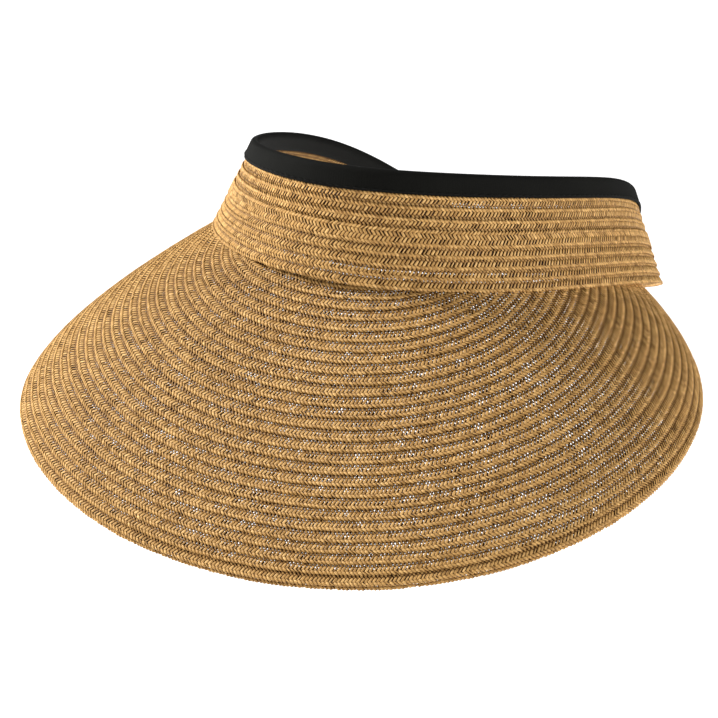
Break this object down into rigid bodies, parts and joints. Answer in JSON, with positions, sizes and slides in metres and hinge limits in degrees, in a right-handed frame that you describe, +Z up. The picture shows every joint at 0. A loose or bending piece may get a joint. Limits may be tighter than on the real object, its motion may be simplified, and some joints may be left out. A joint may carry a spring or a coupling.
{
  "type": "sun visor",
  "caption": "Wide-brim sun visor of sewn braid rows, with an open-topped headband, a ribbed binding on its top edge and a hook-and-loop strap at the back.",
  "frame": {"origin": "on the vertical line through the centre of the head opening, level with the middle of the brim's side edges", "axes": "+Z up along the wearer's head, -Y to the front, +X to the wearer's left, as worn"},
  "size_m": [0.2484, 0.2624, 0.1354],
  "materials": {
    "straw_braid": "satin",
    "edge_braid": "satin",
    "wire": "satin",
    "black_ribbon": "matte",
    "black_thread": "satin",
    "sweatband_cloth": "matte",
    "hook_tape": "matte",
    "loop_tape": "matte"
  },
  "bodies": {
    "visor": {"brim_row_01": "straw_braid", "brim_row_02": "straw_braid", "brim_row_03": "straw_braid", "brim_row_04": "straw_braid", "brim_row_05": "straw_braid", "brim_row_06": "straw_braid", "brim_row_07": "straw_braid", "brim_row_08": "straw_braid", "brim_row_09": "straw_braid", "brim_row_10": "straw_braid", "brim_row_11": "straw_braid", "brim_row_12": "straw_braid", "brim_row_13": "straw_braid", "brim_row_14": "straw_braid", "brim_row_15": "straw_braid", "brim_row_16": "straw_braid", "brim_row_17": "straw_braid", "brim_row_18": "straw_braid", "brim_row_19": "straw_braid", "brim_row_20": "straw_braid", "brim_row_21": "straw_braid", "brim_row_22": "straw_braid", "brim_row_23": "straw_braid", "brim_row_24": "straw_braid", "brim_row_25": "straw_braid", "brim_row_26": "straw_braid", "brim_row_27": "straw_braid", "brim_row_28": "straw_braid", "brim_edge_row": "edge_braid", "brim_wire": "wire", "headband_row_1": "straw_braid", "headband_row_2": "straw_braid", "headband_row_3": "straw_braid", "headband_row_4": "straw_braid", "headband_row_5": "straw_braid", "headband_row_6": "straw_braid", "headband_row_7": "straw_braid", "headband_row_8": "straw_braid", "headband_row_9": "straw_braid", "top_binding": "black_ribbon", "binding_stitches": "black_thread", "sweatband": "sweatband_cloth", "left_end_binding": "black_ribbon", "right_end_binding": "black_ribbon", "strap_sewn_end": "black_ribbon", "strap_stitches": "black_thread", "loop_tape": "loop_tape"},
    "strap": {"closure_strap": "black_ribbon", "hook_tape": "hook_tape"}
  },
  "joints": [
    {"name": "strap_peel", "type": "hinge", "parent": "visor", "child": "strap", "pos_m": [0.02162, 0.09597, 0.00663], "axis": [0.0881, 0.533, -0.8415], "range_deg": [0, 100]}
  ]
}
